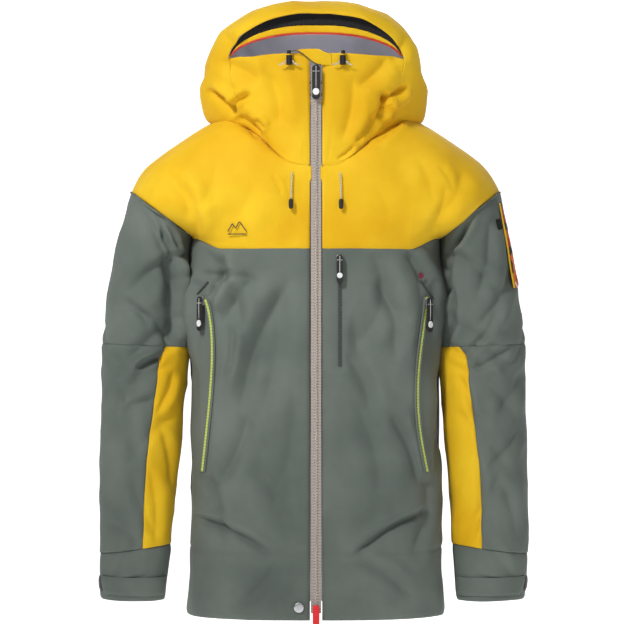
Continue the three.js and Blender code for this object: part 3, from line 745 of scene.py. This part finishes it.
def sweptTube(name, path, radius, material, sides=10, closed=False):
    # a round section carried along a path: the ring is turned into each point's own cross plane
    path = np.asarray(path, float)
    along = np.gradient(path, axis=0)
    along /= np.linalg.norm(along, axis=1, keepdims=True)
    aside = np.cross(along, (0.05, -1.0, 0.02))
    aside /= np.linalg.norm(aside, axis=1, keepdims=True)
    third = np.cross(aside, along)
    turn = np.linspace(0, 2 * np.pi, sides, endpoint=False)
    c, s = np.cos(turn)[None, :, None], np.sin(turn)[None, :, None]
    ring = (c * aside[:, None] + s * third[:, None]) * radius
    points = (path[:, None] + ring).reshape(-1, 3)
    n = len(path)
    i, j = np.meshgrid(np.arange(n - 1), np.arange(sides), indexing="ij")
    a, b = i * sides + j, i * sides + (j + 1) % sides
    faces = np.stack([a, a + sides, b + sides, b], -1).reshape(-1, 4).tolist()
    faces += [list(range(sides)), list(range((n - 1) * sides, n * sides))[::-1]]
    piece = makeMesh(name, points, faces, [material])
    work = bmesh.new()
    work.from_mesh(piece.data)
    bmesh.ops.recalc_face_normals(work, faces=work.faces)
    work.to_mesh(piece.data)
    work.free()
    return piece


def brimRise(degrees):
    # the front edge of the brim, an arch over the opening
    return 1.03 + 0.46 * np.clip(1 - (degrees / jacket["collarTurn"]) ** 2, 0, 1) ** 0.8


def facingStrip(name, lowShare, highShare, material, behind):
    # a strip of the hood's inner facing, behind the brim's edge: shares of the arch's height above the collar
    turn = np.linspace(-jacket["collarTurn"] - 1.5, jacket["collarTurn"] + 1.5, 100)
    reach = np.clip(1 - (turn / (jacket["collarTurn"] + 1.5)) ** 2, 0, 1) ** 0.8
    u, v = np.meshgrid(np.arange(100), np.linspace(0, 1, 8), indexing="ij")
    low, high = 1.0 + 0.5 * lowShare * reach, 1.0 + 0.5 * highShare * reach
    rise = mix(low[u], high[u], v)
    p = hoodPoint(turn[u], rise)
    front = smooth(np.cos(np.radians(turn[u] * 90 / (jacket["collarTurn"] + 1.5))))
    p[..., 1] += behind * front + 4
    p[..., 0] *= 0.985
    ripple = 0.6 * np.sin(turn[u] * 2.3) * np.sin(turn[u] * 0.9 + 1)
    p = p + gridNormals(p) * ripple[..., None]
    strip = joinGrids(name, [(p, np.stack([u * 0.003, v * 0.02], -1))], [material])
    thicken(strip, 1.2)
    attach(strip, "hood")
    return strip


def makeBrimTrim():
    band = facingStrip("brimBand", 0.62, 1.06, blackMesh, 16)
    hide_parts("brim_mesh_band")
    facing = facingStrip("brimFacing", 0.46, 0.63, yellowShell, 15)
    turn = np.linspace(-jacket["collarTurn"] + 1, jacket["collarTurn"] - 1, 90)
    reach = (1 - (turn / (jacket["collarTurn"] + 1.5)) ** 2) ** 0.8
    edge = hoodPoint(turn, 1.0 + 0.5 * 0.44 * reach)
    edge[:, 1] += 15 * smooth(np.cos(np.radians(turn * 1.9))) + 4
    edge[:, 0] *= 0.985
    piping = sweptTube("brimPiping", toFrame(edge), 0.0019, pipingRed)
    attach(piping, "hood")
    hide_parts("hood_piping")


chinGuard = dict(left=-45, right=25, top=919, low=893, forward=3.4)


def makeChinGuard():
    # a flap over the zip's end, bound with dark thread; its free edge curves down to the zip
    guard = chinGuard
    u, v = np.meshgrid(np.linspace(0, 1, 50), np.linspace(0, 1, 20), indexing="ij")

    def lowEdge(x):
        return mix(guard["top"] - 1, guard["low"], smooth((x - guard["left"]) / 52) ** 1.4)

    def onCollar(x, z):
        turn = np.degrees(np.arcsin((np.abs(x) / jacket["hoodWidth"]) ** (1 / jacket["squareness"])))
        surface = hoodPoint(turn, np.clip((z - 730) / 182, 0, 1))
        return np.stack([x, surface[..., 1] - guard["forward"] * (1 - smooth((x - 2) / 22)) - 0.2, z], -1)
    x = mix(guard["left"], guard["right"], u)
    top = guard["top"] - 8 * smooth(x / 24) - 5 * np.clip(-(x + 10) / 35, 0, 1) ** 2
    p = onCollar(x, mix(np.minimum(lowEdge(x), top - 0.5), top, v))
    sheet = joinGrids("chinGuard", [(p, np.stack([u * 0.07, v * 0.025], -1))], [yellowShell, lining])
    flap = thicken(sheet, 1.6, 1)
    line = onCollar(x[:, 0], np.minimum(lowEdge(x[:, 0]), top[:, 0] - 0.5))
    line[:, 1] -= 0.5
    edge = sweptTube("chinGuardEdge", toFrame(line[:38]), 0.0009, threadDark, 8)
    for piece, slot in ((flap, "yellow_shell"), (edge, "thread")):
        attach(piece, "torso")


def makeCordStubs():
    # the hood cord's short ends, out of each lock on both sides
    for side, sign in sides:
        low, high = (np.array(c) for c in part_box(f"cord_lock_{side}"))
        middle = (low + high) / 2
        for way in (-1, 1):
            t = np.linspace(0, 1, 10)[:, None]
            path = middle + np.array([way, 0, 0]) * 0.004 + t * np.array([way * 0.012, -0.001, -0.007]) \
                + np.array([0, -0.002, -0.003]) * np.sin(np.pi * t)
            end = "outer" if way == sign else "inner"
            stub = sweptTube(f"cordStub_{side}_{end}", path, 0.0011, cordGrey, 8)
            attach(stub, "torso")


print("sleeves and hood")
makeSleeves()
makeHood()
makeBrimTrim()
makeChinGuard()
makeCordStubs()


def copyOfNode(name, pieceName, material, bevel=1.0, segments=3):
    # the node's own solid with its flat faces joined and its edges rounded
    source = bpy.data.objects[name]
    mesh = source.data.copy()
    mesh.materials.clear()
    mesh.materials.append(material)
    piece = bpy.data.objects.new(pieceName, mesh)
    bpy.context.collection.objects.link(piece)
    work = bmesh.new()
    work.from_mesh(mesh)
    bmesh.ops.remove_doubles(work, verts=work.verts, dist=2e-5)
    bmesh.ops.dissolve_limit(work, angle_limit=math.radians(4), verts=work.verts, edges=work.edges)
    work.to_mesh(mesh)
    work.free()
    if bevel:
        rounding = piece.modifiers.new("rounding", "BEVEL")
        rounding.width = bevel * milli
        rounding.segments = segments
        rounding.limit_method = "ANGLE"
        rounding.angle_limit = math.radians(40)
        applyModifiers(piece)
    piece.data.polygons.foreach_set("use_smooth", [True] * len(piece.data.polygons))
    modifier = piece.modifiers.new("flatFaces", "WEIGHTED_NORMAL")
    modifier.keep_sharp = True
    applyModifiers(piece)
    return piece


def nodeAxes(name):
    # centre, length, right and outward directions of a flat part, from the spread of its corners
    mesh = bpy.data.objects[name].data
    points = np.empty(len(mesh.vertices) * 3)
    mesh.vertices.foreach_get("co", points)
    points = points.reshape(-1, 3)
    centre = (points.max(0) + points.min(0)) / 2
    spread = np.unique(np.round(points, 5), axis=0)
    spread = spread - spread.mean(0)
    axes = np.linalg.svd(spread, full_matrices=False)[2]
    along, aside, outward = axes
    along = along if along[2] > 0 else -along
    outward = outward if outward[1] < 0 else -outward
    aside = np.cross(-outward, along)
    half = [np.abs(spread @ a).max() for a in (along, aside, outward)]
    return centre, along, aside, outward, half


def roundDot(name, centre, outward, radius, height, material, sides=28):
    # a low button: a profile of rings turned about its axis
    profile = np.array([[1, 0], [1, 0.55], [0.93, 0.85], [0.75, 1.0], [0.35, 1.02], [0.02, 1.02]])
    aside = np.cross(outward, (0, 0, 1.0))
    aside /= np.linalg.norm(aside)
    third = np.cross(outward, aside)
    turn = np.linspace(0, 2 * np.pi, sides, endpoint=False)
    ring = np.cos(turn)[:, None] * aside + np.sin(turn)[:, None] * third
    points = centre + radius * profile[:, 0, None, None] * ring[None]
    points = points + height * profile[:, 1, None, None] * outward
    n = len(profile)
    i, j = np.meshgrid(np.arange(n - 1), np.arange(sides), indexing="ij")
    a, b = i * sides + j, i * sides + (j + 1) % sides
    faces = np.stack([a, b, b + sides, a + sides], -1).reshape(-1, 4).tolist()
    faces += [list(range(sides))[::-1], list(range((n - 1) * sides, n * sides))]
    piece = makeMesh(name, points.reshape(-1, 3), faces, [material])
    work = bmesh.new()
    work.from_mesh(piece.data)
    bmesh.ops.recalc_face_normals(work, faces=work.faces)
    work.to_mesh(piece.data)
    work.free()
    return piece


def makePulls():
    for zip_ in ("zip_top", "side_zip_left", "side_zip_right", "chest_zip"):
        node = f"{zip_}_pull"
        piece = copyOfNode(node, f"{zip_}_rubberPull", rubberBlack, 1.2, 3)
        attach(piece, node)
        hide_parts(node)
        centre, along, aside, outward, half = nodeAxes(node)
        front = centre + outward * half[2]
        dot = roundDot(f"{zip_}_pullDot", front - along * (half[0] - 0.0125), outward,
                       min(0.0055, half[1] * 0.9), 0.0009,
                       whiteDot)
        line = sweptTube(f"{zip_}_pullLoop", [front + along * half[0] * t + outward * 0.0006 * math.sin(3 * t)
                                              for t in np.linspace(0.9, -0.3, 14)], 0.0007, cordGrey, 8)
        bar = sweptTube(f"{zip_}_pullBar", [front + along * half[0] * 0.62 + aside * half[1] * t
                                            for t in np.linspace(-0.92, 0.92, 8)], 0.0006, cordGrey, 8)
        for extra in (dot, line, bar):
            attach(extra, node)
    red = copyOfNode("zip_bottom_pull", "zip_bottom_redPull", rubberRed, 1.2, 3)
    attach(red, "zip_bottom_pull")
    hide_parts("zip_bottom_pull")


def makeSliders():
    for zip_ in ("zip_top", "zip_bottom", "side_zip_left", "side_zip_right", "chest_zip"):
        node = f"{zip_}_slider"
        piece = copyOfNode(node, f"{zip_}_sliderBody", zincSatin, 0.9, 3)
        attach(piece, node)
        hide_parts(node)


def makeTeeth():
    # the chain: two rows of moulded teeth that pass one another, one small block repeated along the zip
    low, high = (np.array(c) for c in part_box("zip_chain"))
    pitch, toothLength = 0.0044, 0.0032
    count = int((high[2] - low[2]) / pitch)
    block = np.array([[x, y, z] for x in (-1, 1) for y in (0, 1) for z in (-1, 1)], float)
    shape = np.array([[0, 4, 6, 2], [1, 3, 7, 5], [0, 1, 5, 4], [2, 6, 7, 3], [0, 2, 3, 1], [4, 5, 7, 6]])
    depth = 0.0022
    vertices, faces = [], []
    lean = jacket["frontLean"]
    for row, shift in ((-1, 0.0), (1, 0.5)):
        at = (np.arange(count - 1) + 0.5 + shift) * pitch
        size = np.array([0.0014, 1, toothLength / 2 * 0.72])
        narrow = np.where(block[:, 1:2] > 0.5, 1.0, 0.72)
        local = block * size * np.concatenate([narrow, np.ones_like(narrow), narrow], 1)
        local[:, 0] += row * 0.00105
        local[:, 1] = -np.where(block[:, 1] > 0.5, 0.0, depth)
        base = np.stack([0 * at, high[1] - (high[2] - (low[2] + at)) * lean - 0.0002, low[2] + at], -1)
        points = (base[:, None] + local[None]).reshape(-1, 3)
        offset = sum(len(v) for v in vertices)
        vertices.append(points)
        faces.append((np.arange(len(at))[:, None, None] * 8 + shape[None] + offset).reshape(-1, 4))
    piece = makeMesh("zipTeeth", np.concatenate(vertices), np.concatenate(faces), [toothPlastic],
                     smoothShade=False)
    work = bmesh.new()
    work.from_mesh(piece.data)
    bmesh.ops.recalc_face_normals(work, faces=work.faces)
    work.to_mesh(piece.data)
    work.free()
    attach(piece, "torso")
    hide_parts("zip_chain")


def makeCuffTabs():
    for side, sign in sides:
        swing = sleeveSwing[side]

        def tab(u, v):
            # the free end is cut slanting, and its corners are round
            angle = mix(-70, 62 - 10 * (1 - v) ** 2, u)
            return sleevePoint(angle, mix(0.2, 0.8, v), swing)
        p, uv = clothGrid(onSide(sign, tab), 70, 24, 3, (), 60, 0.3, seams=(1, 1, 1, 1))
        p = p + gridNormals(p) * 3.6
        piece = joinGrids(f"cuffTab_{side}", [(p, uv)], [greyShell, plasticBlack])
        thicken(piece, 2.4, 1)
        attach(piece, f"tab_{side}")
        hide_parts(f"cuff_tab_{side}")

        def patch(u, v):
            return sleevePoint(mix(58, 116, u), mix(0.26, 0.74, v), swing)
        p, uv = clothGrid(onSide(sign, patch), 34, 16, 4, (), 60, 0.2, seams=(1, 1, 1, 1))
        p = p + gridNormals(p) * 1.9
        piece = joinGrids(f"hookPatch_{side}", [(p, uv)], [blackMesh])
        thicken(piece, 1.6)
        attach(piece, f"sleeve_{side}")
        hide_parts(f"cuff_patch_{side}")


def makeSideZips():
    for side, sign in sides:
        z = np.linspace(235, 519, 90)
        across = np.linspace(-1, 1, 9)
        a2, z2 = np.meshgrid(across, z, indexing="ij")
        wide = bodyPoint(bodyAngle(sideZipLine(sign, z2) + a2 * 2.0, z2), z2)
        normal = gridNormals(wide)
        wide = wide + normal * (2.2 + 1.2 * np.exp(-(a2 / 0.3) ** 2))[..., None]
        wide[..., 0] *= sign
        if sign < 0:
            wide = wide[::-1]
        piece = joinGrids(f"sideZipTape_{side}", [(wide, np.stack([a2 * 0.004, z2 * milli], -1))], [tapeLime])
        thicken(piece, 1.2)
        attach(piece, "torso")
        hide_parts(f"side_zip_{side}_tape")
        for edge in (-1, 1):
            lip = bodyPoint(bodyAngle(sideZipLine(sign, z) + edge * 3.3, z), z)
            lip = lip + np.array([0, -2.4, 0])
            lip[:, 0] *= sign
            where = "inner" if edge < 0 else "outer"
            welt = sweptTube(f"sideZipWelt_{side}_{where}", toFrame(lip), 0.0019, greyShell, 8)
            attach(welt, "torso")
        start, end = ((175, 543), (199, 517)) if sign < 0 else ((169, 545), (191, 516))
        t = np.linspace(0, 1, 16)
        gx, gz = mix(start[0], end[0], t), mix(start[1], end[1], t)
        slit = bodyPoint(bodyAngle(gx, gz), gz) + np.array([0, -1.2, 0])
        slit[:, 0] *= sign
        garage = sweptTube(f"sideZipGarage_{side}", toFrame(slit), 0.0022, tapeDark, 8)
        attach(garage, "torso")


def makeMotif():
    # a generic mountain line in thread, three peaks over a plain underline
    centre, along, aside, outward, half = nodeAxes("chest_motif")
    base = centre - outward * half[2]
    peaks = [(-0.9, -0.5), (-0.45, 0.55), (-0.12, -0.05), (0.25, 0.85), (0.9, -0.5)]
    wide = max(half[0], half[1])
    tall = min(half[0], half[1])
    up = along if abs(along[2]) > abs(aside[2]) else aside * np.sign(aside[2])
    right = np.cross(-outward, up)
    lines = [peaks, [(-0.9, -0.85), (0.9, -0.85)]]
    for k, line in enumerate(lines):
        corner = np.array(line)
        t = np.linspace(0, len(corner) - 1, 40)
        flat = np.stack([np.interp(t, np.arange(len(corner)), corner[:, c]) for c in (0, 1)], -1)
        path = base + outward * 0.0006 + flat[:, :1] * right * wide + flat[:, 1:] * up * tall
        piece = sweptTube(f"motifThread_{k}", path, 0.0009, threadDark, 8)
        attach(piece, "torso")
        if k == 0:
            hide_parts("chest_motif")


def makeTrims():
    centre = nodeAxes("hem_snap")[0]
    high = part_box("hem_snap")[1]
    seat = np.array([centre[0], high[1] - 0.0006, centre[2]])
    cap = roundDot("hemSnapCap", seat, np.array([0.0, -1.0, 0.0]), 0.0082, 0.0024, zincSatin, 40)
    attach(cap, "torso")
    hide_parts("hem_snap")
    # the open pocket on the upper sleeve: a strip of its printed lining, and the yellow edge beside it
    strips = (("sleeve_pocket_print", (58, 84), 2.6, printCloth, "print_cloth"),
              ("sleeve_pocket_tape", (54, 58), 3.2, yellowShell, "yellow_shell"))
    for name, angles, lift, material, slot in strips:
        u, v = np.meshgrid(np.linspace(0, 1, 16), np.linspace(0, 1, 50), indexing="ij")
        wide = smooth((1.02 - v) / 0.75) * smooth(v / 0.1 + 0.4)
        turn = mix(angles[0], mix(angles[0] + 3, angles[1], wide), u)
        p = sleevePoint(turn, mix(5.0, 6.85, v), sleeveSwing["right"])
        p = p + gridNormals(p) * (lift + 1.2 * np.sin(np.pi * u))[..., None]
        piece = thicken(joinGrids(f"{name}Cloth", [(p, np.stack([u * 0.05, v * 0.16], -1))], [material]), 1.2)
        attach(piece, "sleeve_right")
        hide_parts(name)


print("zips, tabs and trims")
makePulls()
makeSliders()
makeTeeth()
makeCuffTabs()
makeSideZips()
makeMotif()
makeTrims()
dressNodes()


def makeStudio():
    # a pale floor under the hem that curves up into a far backdrop, and broad soft lights
    floor, far, bend, wide = -1.06, 6.5, 1.5, 6.0
    t = np.linspace(0, 1, 20)
    curve = np.sin(t * np.pi / 2)
    y = np.concatenate([mix(-7, far - bend, t), far - bend + bend * curve[1:], np.full(2, far)])
    rise = bend * (1 - np.cos(t[1:] * np.pi / 2))
    z = np.concatenate([np.full(20, floor), floor + rise, [floor + 3, floor + 7]])
    x2, k = np.meshgrid(np.linspace(-wide, wide, 3), np.arange(len(y)), indexing="ij")
    points = np.stack([x2, y[k], z[k]], -1)
    material, _, shader = newMaterial("paperBackdrop", 0.9)
    shader.inputs["Base Color"].default_value = linearColour("#FFFFFF")
    shader.inputs["Emission Color"].default_value = (1, 1, 1, 1)
    shader.inputs["Emission Strength"].default_value = 0.75
    stage = makeMesh("paperBackdrop", points.reshape(-1, 3), gridFaces(3, len(y)), [material])
    world = bpy.data.worlds.new("softLight")
    bpy.context.scene.world = world
    world.use_nodes = True
    world.node_tree.nodes["Background"].inputs["Color"].default_value = (1, 1, 1, 1)
    world.node_tree.nodes["Background"].inputs["Strength"].default_value = 0.2
    for name, place, size, power, beam in (("keyLight", (-1.3, -2.1, 1.6), 0.4, 2.6, 34),
                                           ("fillLight", (1.2, -3.0, 0.0), 1.0, 1.5, 120),
                                           ("topLight", (0.2, -0.9, 1.9), 0.7, 3, 120),
                                           ("backLight", (0.6, 2.0, 1.2), 1.6, 5, 120)):
        light = bpy.data.objects.new(name, bpy.data.lights.new(name, "AREA"))
        light.data.size = size
        light.data.energy = power
        light.data.spread = math.radians(beam)
        light.location = place
        aim = np.array([0, 0, -0.4]) - place
        tilt = math.atan2(math.hypot(aim[0], aim[1]), -aim[2])
        light.rotation_euler = (tilt, 0, math.atan2(aim[1], aim[0]) - math.pi / 2)
        bpy.context.collection.objects.link(light)
    glow = bpy.data.objects.new("hoodLight", bpy.data.lights.new("hoodLight", "POINT"))
    glow.data.energy, glow.data.shadow_soft_size = 0.5, 0.05
    glow.location = toFrame((0, -40, 925))
    bpy.context.collection.objects.link(glow)
    bpy.context.scene.view_settings.view_transform = "Standard"


print("studio")
makeStudio()
